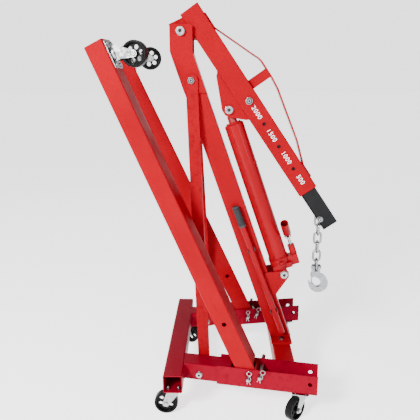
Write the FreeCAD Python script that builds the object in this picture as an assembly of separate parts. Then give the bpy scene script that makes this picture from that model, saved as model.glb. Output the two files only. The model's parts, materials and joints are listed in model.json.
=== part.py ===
import FreeCAD, Part
import math
import os

# Folding engine hoist crane, shown folded: one STEP file per sub-part, in millimetres.
#
# The model is laid out with X forward from the rear face of the rear crossbeam, Y to the crane's left
# and Z up from the floor. At the end everything is moved so that the origin is the middle of the
# bounding box's bottom face.

V = FreeCAD.Vector

# ---------------------------------------------------------------- driving dimensions (mm, degrees)
# base
CASTER_H = 106.0            # floor to the mounting face of every caster
BEAM, BEAM_WALL, BEAM_LEN = 63.5, 4.0, 600.0
SPLAY = 10.2                # each leg sleeve points this far outwards
STUB_Y, STUB_W, STUB_WALL, STUB_LEN = 186.0, 70.0, 3.5, 165.0
STUB_Z0, STUB_Z1 = 110.0, CASTER_H + BEAM
STUB_BOLT_T, STUB_BOLT_Z, STUB_BOLT_R = 60.0, 133.0, 6.0
SLEEVE_START, SLEEVE_END = 121.0, 454.0
SLEEVE_W, SLEEVE_H, SLEEVE_WALL = 80.0, 70.0, 3.5
FRONT_CASTER_T, REAR_CASTER_Y = 400.0, 248.0
CROSS_X0, CROSS_X1, CROSS_Z0, CROSS_Z1, CROSS_WALL = 377.0, 443.0, 108.0, 168.0, 4.0
# legs, measured from their pivot
PIVOT_T, PIVOT_Z = 228.3, 144.0       # leg pivot: distance along the sleeve from the crossbeam, and height
LEG_W, LEG_D, LEG_WALL, LEG_LEN = 70.0, 64.0, 3.5, 1174.0
LEG_LEAN = 24.7             # folded leg, back from the vertical
LEG_DROOP = 0.3             # unfolded leg, below the horizontal
LEG_LOCK = 201.0            # lock hole
LEG_CASTER = 1124.0         # middle of the caster plate
PIN_R, HOLE_PLAY = 6.5, 0.7
LOCK_DT, LOCK_DZ = 38.6, 12.0         # lock pin
PIN_HEAD_R, PIN_HEAD_T, PIN_TAIL = 11.0, 7.0, 15.0
PIN_BEND, PIN_GRIP_UP, PIN_GRIP_ALONG = 12.0, 24.0, 3.0
CLIP_WIRE, CLIP_RING_R, CLIP_OUT = 1.3, 7.5, 8.0
CLIP_TILTS = (9.0, 27.0)    # spring clips of the pivot pin and of the lock pin
# mast
PLATE_X0, PLATE_X1, PLATE_HALF_Y, PLATE_T = 373.0, 448.0, 84.0, 8.0
FOOT_BOLT_X, FOOT_BOLT_Y, FOOT_BOLT_R = 410.5, 58.0, 6.0
MAST, MAST_WALL, MAST_LEAN, MAST_AXIS_X = 70.0, 4.0, 19.2, 412.0
MAST_TOP = 1190.0           # height of the mast's top end
EAR_T, EAR_TOP, EAR_BOTTOM, EAR_IN, EAR_ROUND = 6.0, 1277.0, 1062.0, 44.0, 8.0
EAR_KINK0, EAR_KINK1 = 1168.0, 1193.0
BAR_TOP_Z, BAR_W, BAR_T = 1102.0, 40.0, 6.0
BAR_BOLT_R, BOLT_R, PIVOT_BOLT_R, BOLT_PLAY = 6.0, 8.0, 10.0, 0.2
BOOM_PIVOT = V(53.9, 0, 1255.9)
RAM_PIVOT = V(415.0, 0, 423.5)
# boom, measured along it from its rear end and from its underside
BOOM, BOOM_WALL, BOOM_LEN, BOOM_DIP = 68.0, 4.0, 723.5, 55.65
PIVOT_S, PIVOT_D = 42.0, 27.6         # boom pivot, below the underside
RAM_EYE_S, RAM_EYE_D = 337.7, 37.7    # upper ram bolt, below the underside
HOLE_S, HOLE_STEP, HOLE_COUNT, BOOM_PIN_R = 351.0, 92.0, 4, 6.0
LUG_IN, LUG_T, PIVOT_SLEEVE_R = 22.0, 7.0, 15.5
GUSSET_IN, GUSSET_T = 22.0, 6.0
POST_S0, POST_S1, POST_HALF, POST_WALL = 295.0, 327.0, 16.0, 3.0
TRUSS_H, STRAP_T, STRAP_HALF = 137.0, 4.5, 19.0
EXT, EXT_WALL, EXT_OUT, EXT_IN, EXT_MOUTH = 56.0, 4.0, 150.0, 20.0, 96.0
CHAIN_BOLT_S, CHAIN_BOLT_D, CHAIN_BOLT_R = 833.2, 15.7, 6.0   # above the underside
# hydraulic ram, measured up from its lower pivot
CYL_R, CYL_BORE, CYL_FOOT, CYL_TOP = 33.5, 24.0, 60.0, 563.0
GLAND_T, PLUG_Z, PLUG_TURN = 8.5, 420.0, -38.0
ROD_R, ROD_TAIL = 15.0, 70.0
EYE_R, EYE_HALF, EYE_BORE, NECK_HALF, NECK_LEN = 14.0, 19.5, 8.3, 11.8, 26.0
VALVE_X, VALVE_Z, VALVE_R, VALVE_HEAD_R = 4.0, 40.0, 6.0, 8.5
PUMP_F, PUMP_FULCRUM_A, PUMP_FULCRUM_Y = 57.0, 116.0, 17.0
PLUNGER_R, PUMP_R, LINK_PIN_R = 6.0, 12.5, 3.0
SOCKET_TILT, SOCKET_LEN, SOCKET_R, SOCKET_BORE = 41.0, 66.0, 14.6, 11.5
# stored pump handle
HANDLE_R, HANDLE_LEN, GRIP_LEN, GRIP_R, HANDLE_Y = 10.8, 512.0, 76.0, 12.4, -55.0
HANDLE_X, HANDLE_Z, HANDLE_LEAN = 235.2, 680.0, 20.4
HANDLE_CLIPS, CLIP_HALF = (170.0, 420.0), 8.0
# casters
WHEEL_R, WHEEL_HALF, TRAIL = 40.0, 13.0, 28.0
CASTER_BOLT_R, CASTER_BOLT_HOLE, CASTER_PLATE_T = 3.5, 3.6, 3.0
KINGPIN_R, CHEEK_IN, CHEEK_OUT, AXLE_R = 5.0, 14.5, 17.0, 4.0
# chain and hook
LINK_WIRE, LINK_PITCH, LINK_COUNT = 4.0, 33.5, 6
LINK_IN_L, LINK_IN_W = 34.1, 16.0
CLEVIS_R, HOOK_R, HOOK_DROP, HOOK_FORWARD, HOOK_HALF = 5.0, 35.5, 60.0, 10.0, 9.0
LATCH_R, LATCH_BACK, LATCH_DROP = 2.5, 10.0, 24.0
# everywhere
CORNER_R = 5.0              # outer corner radius of every tube
FIT = 0.3                   # gap between curved faces that turn on each other
RUN = 0.1                   # radial clearance of a shaft in its bore

PARTS = {}


# ---------------------------------------------------------------- small tools
def rad(a):
    return math.radians(a)


def box(x0, x1, y0, y1, z0, z1):
    return Part.makeBox(x1 - x0, y1 - y0, z1 - z0, V(x0, y0, z0))


def rod(radius, start, end):
    return Part.makeCylinder(radius, start.distanceToPoint(end), start, end - start)


def along_y(radius, x, z, y0, y1):
    return rod(radius, V(x, y0, z), V(x, y1, z))


def prism_y(points, y0, y1):
    """A plate: an outline of (x, z) points, from y0 to y1."""
    wire = Part.makePolygon([V(x, y0, z) for x, z in points] + [V(points[0][0], y0, points[0][1])])
    return Part.Face(wire).extrude(V(0, y1 - y0, 0))


def fuse(*shapes):
    result = shapes[0]
    for other in shapes[1:]:
        result = result.fuse(other)
    return result.removeSplitter()


def group(*shapes):
    return Part.makeCompound(list(shapes))


def hexagon_y(flats, x, z, y0, y1, turn=0.0):
    """A hexagon along Y, as a bolt head or a nut; the corners of its y1 end are turned off."""
    radius = flats / math.sqrt(3)
    points = [(x + radius * math.cos(rad(turn + 60 * i)), z + radius * math.sin(rad(turn + 60 * i)))
              for i in range(6)]
    bar = prism_y(points, y0, y1)
    wide, narrow = radius + 1.2, radius - 0.9
    if y1 > y0:
        return bar.common(Part.makeCone(wide, narrow, y1 - y0, V(x, y0, z), V(0, 1, 0)))
    return bar.common(Part.makeCone(narrow, wide, y0 - y1, V(x, y1, z), V(0, 1, 0)))


def bolt_y(radius, flats, x, z, head_y, nut_y, tip=4.0):
    """A bolt along Y: its head stands outside head_y, its nut outside nut_y."""
    way = 1.0 if nut_y > head_y else -1.0
    depth = radius * 1.25
    head = hexagon_y(flats, x, z, head_y, head_y - way * depth)
    nut = hexagon_y(flats, x, z, nut_y, nut_y + way * depth, 12.0)
    shank = along_y(radius, x, z, head_y, nut_y + way * (depth + tip))
    return [fuse(head, shank), nut.cut(along_y(radius, x, z, nut_y - way, nut_y + way * (depth + 1)))]


def frame(origin, x_axis, z_axis):
    """Placement of a local frame: its own X along x_axis and Z near z_axis."""
    return FreeCAD.Placement(origin, FreeCAD.Rotation(x_axis, V(0, 0, 0), z_axis, "XZY"))


def moved(shape, placement):
    copy = shape.copy()
    copy.Placement = placement.multiply(copy.Placement)
    return copy


def mirrored(shape):
    return shape.mirror(V(0, 0, 0), V(0, 1, 0))


def rounded(shape, direction, radius, keep=lambda point: True, shortest=60.0):
    """Round every straight edge that runs along direction and is longer than shortest."""
    edges = []
    for edge in shape.Edges:
        run = edge.Vertexes[-1].Point - edge.Vertexes[0].Point
        along = run.cross(direction).Length < 1e-3 * run.Length
        if run.Length > shortest and along and keep(edge.Vertexes[0].Point):
            edges.append(edge)
    return shape.makeFillet(radius, edges)


def rect_tube(x0, x1, half_y, z0, z1, wall):
    """Rectangular tube along X with rounded outer and inner corners."""
    along = V(1, 0, 0)
    outer = rounded(box(x0, x1, -half_y, half_y, z0, z1), along, CORNER_R)
    inner = box(x0 - 1, x1 + 1, -half_y + wall, half_y - wall, z0 + wall, z1 - wall)
    return outer.cut(rounded(inner, along, CORNER_R - wall + 0.5))


# ---------------------------------------------------------------- frames that pieces are laid out in
def sleeve_frame(side):
    """X along the sleeve from the crossbeam, Y to the crane's left; side is +1 left, -1 right."""
    along = V(math.cos(rad(SPLAY)), side * math.sin(rad(SPLAY)), 0)
    return frame(V(BEAM, side * STUB_Y, 0), along, V(0, 0, 1))


def leg_frame(side):
    """X up the folded leg from its pivot, Z away from the side that carries the caster."""
    turn = FreeCAD.Placement(V(PIVOT_T, 0, PIVOT_Z), FreeCAD.Rotation(V(0, -1, 0), 90 + LEG_LEAN))
    return sleeve_frame(side).multiply(turn)


DIP = V(math.cos(rad(BOOM_DIP)), 0, -math.sin(rad(BOOM_DIP)))
BELOW = V(-math.sin(rad(BOOM_DIP)), 0, -math.cos(rad(BOOM_DIP)))
BOOM_REAR = BOOM_PIVOT - DIP * PIVOT_S - BELOW * PIVOT_D
BOOM_FRAME = frame(BOOM_REAR, DIP, -BELOW)        # X along the boom, Z up from its underside
RAM_EYE = BOOM_REAR + DIP * RAM_EYE_S + BELOW * RAM_EYE_D
RAM_CLOSED = RAM_PIVOT.distanceToPoint(RAM_EYE)
RAM_UP = (RAM_EYE - RAM_PIVOT).normalize()
RAM_FRONT = V(RAM_UP.z, 0, -RAM_UP.x)
RAM_FRAME = frame(RAM_PIVOT, RAM_FRONT, RAM_UP)   # Z up the ram, X to its front
HANDLE_TOP = V(HANDLE_X, HANDLE_Y, HANDLE_Z)
HANDLE_DIR = V(math.sin(rad(HANDLE_LEAN)), 0, -math.cos(rad(HANDLE_LEAN)))


def mast_x(z):
    return MAST_AXIS_X - (z - CROSS_Z1) * math.tan(rad(MAST_LEAN))


MAST_HALF = MAST / 2 / math.cos(rad(MAST_LEAN))   # half the mast's width along X
MAST_UP = V(-math.sin(rad(MAST_LEAN)), 0, math.cos(rad(MAST_LEAN)))
CHAIN_BOLT = BOOM_REAR + DIP * CHAIN_BOLT_S - BELOW * CHAIN_BOLT_D
FIRST_LINK_Z = CHAIN_BOLT.z + CHAIN_BOLT_R + FIT - LINK_IN_L / 2
LINK_Z = [FIRST_LINK_Z - i * LINK_PITCH for i in range(LINK_COUNT)]
CLEVIS_Z = LINK_Z[-1] - LINK_IN_L / 2 + FIT + CLEVIS_R
LATCH_PIVOT = (CHAIN_BOLT.x - LATCH_BACK, CLEVIS_Z - LATCH_DROP)


# ---------------------------------------------------------------- casters
def caster_plate():
    """Fixed plate, upper race and kingpin; mounting face at z = 0, everything below it."""
    corner_r = 5.0
    plate = rounded(box(-28, 28, -45, 45, -CASTER_PLATE_T, 0), V(0, 0, 1), corner_r, shortest=1.0)
    race = Part.makeCone(19, 22, 3.5, V(0, 0, -6.5))
    pin = Part.makeCylinder(KINGPIN_R, 12, V(0, 0, -18))
    head = Part.makeCone(6, 8.5, 3, V(0, 0, -20.7))
    return fuse(plate, race, pin, head)


BOLT_SPOTS = [(sx * 17.0, sy * 34.0) for sx in (-1, 1) for sy in (-1, 1)]


def hexagon_z(flats, x, y, z0, z1):
    radius = flats / math.sqrt(3)
    ring = [V(x + radius * math.cos(rad(60 * i + 15)), y + radius * math.sin(rad(60 * i + 15)), z0)
            for i in range(6)]
    return Part.Face(Part.makePolygon(ring + ring[:1])).extrude(V(0, 0, z1 - z0))


def caster_bolts(wall, inside):
    """Four bolts through the plate; with inside they end in nuts above the wall, else flush with it."""
    pieces = []
    below = -CASTER_PLATE_T
    for x, y in BOLT_SPOTS:
        head = hexagon_z(11, x, y, below - 4, below)
        shank = Part.makeCylinder(CASTER_BOLT_R, wall - below + (12 if inside else 0), V(x, y, below))
        pieces.append(fuse(head, shank))
        if inside:
            nut = hexagon_z(11, x, y, wall, wall + 5.5)
            pieces.append(nut.cut(Part.makeCylinder(CASTER_BOLT_R, 20, V(x, y, -1))))
    return group(*pieces)


def drilled(shape, placement, wall):
    """Bolt holes of one caster through a wall above its plate."""
    for x, y in BOLT_SPOTS:
        shape = shape.cut(moved(Part.makeCylinder(CASTER_BOLT_HOLE, wall + 8, V(x, y, -4)), placement))
    return shape


def caster_fork():
    """Crown, bearing cup, two cheeks and the axle bolt, trailing towards -X."""
    top, axle_z = -10.0, WHEEL_R - CASTER_H
    cup = Part.makeCylinder(24, 3.2, V(0, 0, top))
    cup = cup.cut(Part.makeCylinder(KINGPIN_R + FIT, 4, V(0, 0, top - 0.4)))
    crown = Part.makeCylinder(26, 4, V(0, 0, top - 4))
    crown = crown.fuse(box(-25, 20, -CHEEK_OUT, CHEEK_OUT, top - 4, top))
    crown = crown.cut(Part.makeCylinder(KINGPIN_R + FIT, 5, V(0, 0, top - 4.5)))
    outline = [(-25, top), (20, top), (20, top - 12), (-TRAIL + 10, axle_z - 4.5),
               (-TRAIL - 9.6, axle_z - 5.5), (-TRAIL - 11, axle_z + 2), (-25, top - 14)]
    cheeks = []
    for side in (-1, 1):
        y0, y1 = sorted((side * CHEEK_IN, side * CHEEK_OUT))
        cheek = prism_y(outline, y0, y1).fuse(along_y(11, -TRAIL, axle_z, y0, y1))
        cheeks.append(cheek.cut(along_y(AXLE_R, -TRAIL, axle_z, y0 - 1, y1 + 1)))
    body = fuse(cup, crown, *cheeks)
    return group(body, *bolt_y(AXLE_R, 13, -TRAIL, axle_z, -CHEEK_OUT, CHEEK_OUT, 1.5))


def caster_wheel():
    """Wheel with a thick rim, a web with six round holes and a hub."""
    profile = [(AXLE_R + 0.15, -13.8), (9.5, -13.8), (9.5, -4.5), (30.5, -4.5), (31.5, -12),
               (33, -WHEEL_HALF), (WHEEL_R - 3, -WHEEL_HALF), (WHEEL_R - 0.9, -WHEEL_HALF + 0.9),
               (WHEEL_R, -WHEEL_HALF + 3)]
    profile = profile + [(r, -y) for r, y in reversed(profile)]
    face = Part.Face(Part.makePolygon([V(r, y, 0) for r, y in profile + profile[:1]]))
    wheel = face.revolve(V(0, 0, 0), V(0, 1, 0), 360)
    web_r, web_hole_r = 20.3, 7.2
    for i in range(6):
        a = rad(60 * i + 20)
        wheel = wheel.cut(along_y(web_hole_r, web_r * math.cos(a), web_r * math.sin(a), -6, 6))
    wheel.translate(V(-TRAIL, 0, WHEEL_R - CASTER_H))
    return wheel


def caster_places():
    """Name, placement of the mounting face and the way the wheel trails, for all six casters."""
    places = []
    beam_x = BEAM / 2
    for name, side, heading in (("rear_right", -1, 0.0), ("rear_left", 1, 152.7)):
        spot = FreeCAD.Placement(V(beam_x, side * REAR_CASTER_Y, CASTER_H), FreeCAD.Rotation())
        places.append((name, spot, heading))
    for name, side, heading in (("front_right", -1, 45.0), ("front_left", 1, -45.0)):
        spot = FreeCAD.Placement(V(FRONT_CASTER_T, 0, CASTER_H), FreeCAD.Rotation())
        places.append((name, sleeve_frame(side).multiply(spot), heading + side * -SPLAY))
    for name, side in (("leg_right", -1), ("leg_left", 1)):
        spot = FreeCAD.Placement(V(LEG_CASTER, 0, -LEG_D / 2), FreeCAD.Rotation(V(0, 0, 1), 90))
        places.append((name, leg_frame(side).multiply(spot), -90.0))
    return places


CASTERS = caster_places()


def heading_frame(placement, heading):
    return placement.multiply(FreeCAD.Placement(V(0, 0, 0), FreeCAD.Rotation(V(0, 0, 1), heading)))


def make_casters():
    """Plates, forks and wheels; returns the bolt sets of the four base casters."""
    base_plates, base_bolts = [], []
    for name, spot, heading in CASTERS:
        turned = heading_frame(spot, heading)
        PARTS["caster_fork_" + name] = moved(caster_fork(), turned)
        PARTS["caster_wheel_" + name] = moved(caster_wheel(), turned)
        plate = caster_plate()
        for x, y in BOLT_SPOTS:
            plate = plate.cut(Part.makeCylinder(CASTER_BOLT_HOLE, 6, V(x, y, -4)))
        plate = moved(plate, spot)
        if name.startswith("leg"):
            PARTS["caster_plate_" + name] = group(plate, moved(caster_bolts(LEG_WALL, True), spot))
            continue
        base_plates.append(plate)
        rear = name.startswith("rear")
        base_bolts.append(moved(caster_bolts(BEAM_WALL if rear else SLEEVE_WALL, rear), spot))
    PARTS["base_caster_plates"] = group(*base_plates)
    return base_bolts


# ---------------------------------------------------------------- base
def foot_bolt_holes(shape, z):
    for side in (-1, 1):
        shape = shape.cut(Part.makeCylinder(FOOT_BOLT_R, 80, V(FOOT_BOLT_X, side * FOOT_BOLT_Y, z)))
    return shape


def sleeve(side, name, place):
    """Channel that holds a leg: floor, two walls, the pin holes and the holes of its caster's bolts."""
    half = SLEEVE_W / 2
    shape = box(SLEEVE_START, SLEEVE_END, -half, half, CASTER_H, CASTER_H + SLEEVE_H)
    shape = rounded(shape, V(1, 0, 0), CORNER_R, lambda point: point.z < CASTER_H + 1)
    hollow = box(0, 600, SLEEVE_WALL - half, half - SLEEVE_WALL, CASTER_H + SLEEVE_WALL, 300)
    shape = shape.cut(rounded(hollow, V(1, 0, 0), CORNER_R - SLEEVE_WALL, lambda point: point.z < 200))
    for t, z, r in ((PIVOT_T, PIVOT_Z, PIN_R), (PIVOT_T + LOCK_DT, PIVOT_Z + LOCK_DZ, PIN_R),
                    (PIVOT_T + LEG_LOCK, PIVOT_Z, PIN_R + HOLE_PLAY)):
        shape = shape.cut(along_y(r, t, z, -60, 60))
    shape = moved(shape, place)
    for caster, spot, heading in CASTERS:
        if caster == "front_" + name:
            shape = drilled(shape, spot, SLEEVE_WALL)
    return shape


def make_base():
    beam = rect_tube(-BEAM_LEN / 2, BEAM_LEN / 2, BEAM / 2, CASTER_H, CASTER_H + BEAM, BEAM_WALL)
    beam.rotate(V(0, 0, 0), V(0, 0, 1), 90)
    beam.translate(V(BEAM / 2, 0, 0))
    for name, spot, heading in CASTERS:
        if name.startswith("rear"):
            beam = drilled(beam, spot, BEAM_WALL)
    PARTS["rear_crossbeam"] = beam
    cross = rect_tube(-300, 300, (CROSS_X1 - CROSS_X0) / 2, CROSS_Z0, CROSS_Z1, CROSS_WALL)
    cross.rotate(V(0, 0, 0), V(0, 0, 1), 90)
    cross.translate(V((CROSS_X0 + CROSS_X1) / 2, 0, 0))
    for side, name in ((-1, "right"), (1, "left")):
        place = sleeve_frame(side)
        stub = moved(rect_tube(-20, STUB_LEN, STUB_W / 2, STUB_Z0, STUB_Z1, STUB_WALL), place)
        stub = stub.cut(box(-100, BEAM, -400, 400, 0, 300))
        stub = stub.cut(moved(along_y(STUB_BOLT_R + RUN, STUB_BOLT_T, STUB_BOLT_Z, -60, 60), place))
        PARTS["stub_" + name] = stub
        PARTS["sleeve_" + name] = sleeve(side, name, place)
        y0, y1 = sorted((-side * SLEEVE_W / 2, side * 400))
        cross = cross.cut(moved(box(-200, 900, y0, y1, 0, 400), place))
    PARTS["front_crossmember"] = foot_bolt_holes(cross, CROSS_Z0 - 5)


# ---------------------------------------------------------------- legs
def lock_pin_path():
    """Where the lock pin runs through a leg while the leg unfolds: an arc round the leg's pivot."""
    reach = math.hypot(LOCK_DT, LOCK_DZ)
    half = PIN_R + 0.6
    end = math.degrees(math.atan2(LOCK_DZ, LOCK_DT)) + LEG_DROOP + 0.4
    y0 = -LEG_W / 2 + LEG_WALL + 0.01
    ring = along_y(reach + half, 0, 0, y0, 60).cut(along_y(reach - half, 0, 0, y0 - 1, 61))
    far = 90.0
    wedge = prism_y([(0, 0), (far * math.cos(rad(end)), far * math.sin(rad(end))), (far, -far), (0, -far),
                     (-far, -far), (-far, -20)], y0, 60)
    stop = along_y(half, reach * math.cos(rad(end)), reach * math.sin(rad(end)), y0, 60)
    return ring.common(wedge).fuse(stop)


def make_legs():
    """Square tubes, closed at the top; the wall away from the crane's right is open for the lock pin."""
    shell = box(0, LEG_LEN, -LEG_W / 2, LEG_W / 2, -LEG_D / 2, LEG_D / 2)
    shell = shell.fuse(along_y(LEG_D / 2, 0, 0, -LEG_W / 2, LEG_W / 2)).removeSplitter()
    shell = rounded(shell, V(1, 0, 0), CORNER_R)
    shell = shell.cut(box(-60, LEG_LEN - LEG_WALL, -LEG_W / 2 + LEG_WALL, LEG_W / 2 - LEG_WALL,
                          -LEG_D / 2 + LEG_WALL, LEG_D / 2 - LEG_WALL))
    shell = shell.cut(along_y(PIN_R + RUN, 0, 0, -60, 60))
    shell = shell.cut(along_y(PIN_R + HOLE_PLAY, LEG_LOCK, 0, -60, 60))
    leg = shell.cut(lock_pin_path()).removeSplitter()
    for side, name in ((-1, "right"), (1, "left")):
        placed = moved(leg, leg_frame(side))
        for caster, spot, heading in CASTERS:
            if caster == "leg_" + name:
                placed = drilled(placed, spot, LEG_WALL)
        PARTS["leg_" + name] = placed


# ---------------------------------------------------------------- leg pins and their spring clips
def bent_wire(radius, points):
    """Round wire through the given points, with rounded corners."""
    pieces = [rod(radius, p, q) for p, q in zip(points, points[1:])]
    pieces += [Part.makeSphere(radius, p) for p in points]
    return fuse(*pieces)


def hairpin():
    """Spring clip of a pin along Y: a straight leg through it, a ring above and a leg bowed round it."""
    straight = rod(CLIP_WIRE, V(0, 0, -19), V(0, 0, 13.5))
    ring = Part.makeTorus(CLIP_RING_R, CLIP_WIRE, V(0, 0, 21), V(0, 1, 0))
    bow = [V(4.5, 0, 15), V(4.6, 0, 9), V(8.4, 0, 3.5), V(8.6, 0, -2), V(6.2, 0, -7), V(5.6, 0, -10),
           V(10.5, 0, -17)]
    return fuse(straight, ring, bent_wire(CLIP_WIRE, bow))


def pivot_pin(shaft, t, z):
    """Pin with a plain round head on the crane's left."""
    return fuse(shaft, along_y(PIN_HEAD_R, t, z, SLEEVE_W / 2, SLEEVE_W / 2 + PIN_HEAD_T))


def lock_pin(shaft, t, z):
    """Pin with a bent-up grip; it is left open where the nearer wall of the turning leg passes."""
    end = SLEEVE_W / 2 + 1
    elbow = Part.makeTorus(PIN_BEND, PIN_R, V(t, end, z + PIN_BEND), V(1, 0, 0))
    elbow = elbow.common(box(t - 20, t + 20, end, end + 30, z - 20, z + PIN_BEND))
    corner = V(t, end + PIN_BEND, z + PIN_BEND)
    grip = rod(PIN_R, corner, V(t + PIN_GRIP_ALONG, corner.y, z + PIN_GRIP_UP))
    wall = -LEG_W / 2
    gap = along_y(PIN_R + 1, t, z, wall - 0.6, wall + LEG_WALL + 1.0)
    return fuse(shaft, elbow, grip).cut(gap)


def make_leg_pins():
    pins, clips = [], []
    tail_y = -(SLEEVE_W / 2 + PIN_TAIL)
    clip_y = -(SLEEVE_W / 2 + CLIP_OUT)
    for side in (-1, 1):
        place = sleeve_frame(side)
        for t, z, finish, tilt in ((PIVOT_T, PIVOT_Z, pivot_pin, CLIP_TILTS[0]),
                                   (PIVOT_T + LOCK_DT, PIVOT_Z + LOCK_DZ, lock_pin, CLIP_TILTS[1])):
            tip = Part.makeCone(PIN_R - 1.5, PIN_R, 2.5, V(t, tail_y - 2.5, z), V(0, 1, 0))
            shaft = along_y(PIN_R, t, z, tail_y, SLEEVE_W / 2 + 1).fuse(tip)
            spot = FreeCAD.Placement(V(t, clip_y, z), FreeCAD.Rotation(V(0, 1, 0), tilt))
            hole = moved(rod(CLIP_WIRE + RUN, V(0, 0, -20), V(0, 0, 20)), spot)
            pins.append(moved(finish(shaft, t, z).cut(hole), place))
            clips.append(moved(moved(hairpin(), spot), place))
    PARTS["leg_pins"] = group(*pins)
    PARTS["leg_pin_clips"] = group(*clips)


# ---------------------------------------------------------------- mast
def mast_plate(z0, z1, y0, y1):
    """A plate on the mast's side face, from height z0 to z1, flush with the mast's width."""
    w = MAST_HALF
    corners = [(mast_x(z0) - w, z0), (mast_x(z0) + w, z0), (mast_x(z1) + w, z1), (mast_x(z1) - w, z1)]
    return prism_y(corners, y0, y1)


def make_mast():
    foot_z = CROSS_Z1 + PLATE_T
    half = MAST / 2
    outer = rounded(mast_plate(foot_z, MAST_TOP, -half, half), MAST_UP, CORNER_R)
    inner_w = MAST_HALF - MAST_WALL / math.cos(rad(MAST_LEAN))
    z0, z1 = foot_z - 1, MAST_TOP - MAST_WALL
    inner = prism_y([(mast_x(z0) - inner_w, z0), (mast_x(z0) + inner_w, z0), (mast_x(z1) + inner_w, z1),
                     (mast_x(z1) - inner_w, z1)], -half + MAST_WALL, half - MAST_WALL)
    bar_bolt = along_y(BAR_BOLT_R + BOLT_PLAY, mast_x(BAR_TOP_Z), BAR_TOP_Z, -90, 90)
    PARTS["mast_tube"] = outer.cut(inner).cut(bar_bolt)
    plate = box(PLATE_X0, PLATE_X1, -PLATE_HALF_Y, PLATE_HALF_Y, CROSS_Z1, foot_z)
    PARTS["mast_foot_plate"] = foot_bolt_holes(plate, CROSS_Z1 - 5)
    x0, x1 = mast_x(MAST_TOP) - MAST_HALF, mast_x(MAST_TOP) + MAST_HALF
    upper = box(x0, x1, EAR_IN, EAR_IN + EAR_T, EAR_KINK1, EAR_TOP)
    upper = rounded(upper, V(0, 1, 0), EAR_ROUND, lambda point: point.z > EAR_TOP - 1, 1.0)
    lower = mast_plate(EAR_BOTTOM, EAR_KINK0, half, half + EAR_T)
    sections = []
    for z, x, y in ((EAR_KINK0, mast_x(EAR_KINK0) - MAST_HALF, half), (EAR_KINK1, x0, EAR_IN)):
        end = x + 2 * MAST_HALF
        corners = [V(x, y, z), V(end, y, z), V(end, y + EAR_T, z), V(x, y + EAR_T, z)]
        sections.append(Part.makePolygon(corners + corners[:1]))
    ear = fuse(upper, Part.makeLoft(sections, True, True), lower)
    ear = ear.cut(along_y(PIVOT_BOLT_R + 0.05, BOOM_PIVOT.x, BOOM_PIVOT.z, 0, 90)).cut(bar_bolt)
    PARTS["mast_ears"] = group(mirrored(ear), ear)
    points = [(402, 435), (427, 437.5), (432, 432), (433, 414), (388, 344), (mast_x(344) + 4, 344),
              (mast_x(424) + 4, 424)]
    cheek = prism_y(points, half, half + EAR_T).cut(along_y(BOLT_R + 0.05, RAM_PIVOT.x, RAM_PIVOT.z, 0, 90))
    PARTS["ram_bracket"] = group(mirrored(cheek), cheek)


# ---------------------------------------------------------------- the two support bars
def support_bar():
    """Flat bar of the crane's left side: tab on the stub, slanted run and tab beside the mast."""
    place = sleeve_frame(1)
    y_in = -STUB_W / 2
    low_z, mid_z, high_z = STUB_Z0 + 3, 178.0, BAR_TOP_Z - 34
    half = BAR_W / 2
    tab = moved(box(STUB_BOLT_T - half, STUB_BOLT_T + half, y_in - BAR_T, y_in, low_z, mid_z), place)
    tab = tab.cut(moved(along_y(STUB_BOLT_R + RUN, STUB_BOLT_T, STUB_BOLT_Z, -60, 60), place))
    corners = ((-half, 0), (half, 0), (half, BAR_T), (-half, BAR_T))
    lower = [place.multVec(V(STUB_BOLT_T + dx, y_in - dy, mid_z)) for dx, dy in corners]
    y_up = MAST / 2 + EAR_T
    top_x = mast_x(BAR_TOP_Z) + 3.0
    upper = [V(top_x + dx, y_up + BAR_T - dy, high_z) for dx, dy in corners]
    run = Part.makeLoft([Part.makePolygon(ring + ring[:1]) for ring in (lower, upper)], True, True)
    head = box(top_x - half, top_x + half, y_up, y_up + BAR_T, high_z, BAR_TOP_Z)
    head = head.fuse(along_y(half, top_x, BAR_TOP_Z, y_up, y_up + BAR_T))
    head = head.cut(along_y(BAR_BOLT_R + BOLT_PLAY, mast_x(BAR_TOP_Z), BAR_TOP_Z, 0, 90))
    return fuse(tab, run, head)


def make_support_bars():
    bar = support_bar()
    PARTS["support_bar_left"] = bar
    PARTS["support_bar_right"] = mirrored(bar)


def make_frame_bolts(caster_sets):
    pieces = list(caster_sets)
    top_y = MAST / 2 + EAR_T + BAR_T
    pieces += bolt_y(BAR_BOLT_R, 19, mast_x(BAR_TOP_Z), BAR_TOP_Z, top_y, -top_y)
    plate_top, under = CROSS_Z1 + PLATE_T, CROSS_Z0
    for side in (-1, 1):
        outer, inner = side * STUB_W / 2, -side * (STUB_W / 2 + BAR_T)
        pieces += [moved(p, sleeve_frame(side))
                   for p in bolt_y(STUB_BOLT_R, 19, STUB_BOLT_T, STUB_BOLT_Z, outer, inner)]
        x, y = FOOT_BOLT_X, side * FOOT_BOLT_Y
        head = hexagon_z(18, x, y, plate_top, plate_top + 7.5)
        shank = Part.makeCylinder(FOOT_BOLT_R, plate_top - under + 14, V(x, y, under - 14))
        pieces += [fuse(head, shank), hexagon_z(18, x, y, under - 10, under).cut(shank)]
    PARTS["frame_bolts"] = group(*pieces)
    y = EAR_IN + EAR_T
    pivot = bolt_y(PIVOT_BOLT_R, 25, BOOM_PIVOT.x, BOOM_PIVOT.z, -y, y)
    base = bolt_y(BOLT_R, 24, RAM_PIVOT.x, RAM_PIVOT.z, -(MAST / 2 + EAR_T), MAST / 2 + EAR_T)
    PARTS["pivot_bolts"] = group(*pivot, *base)


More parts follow.
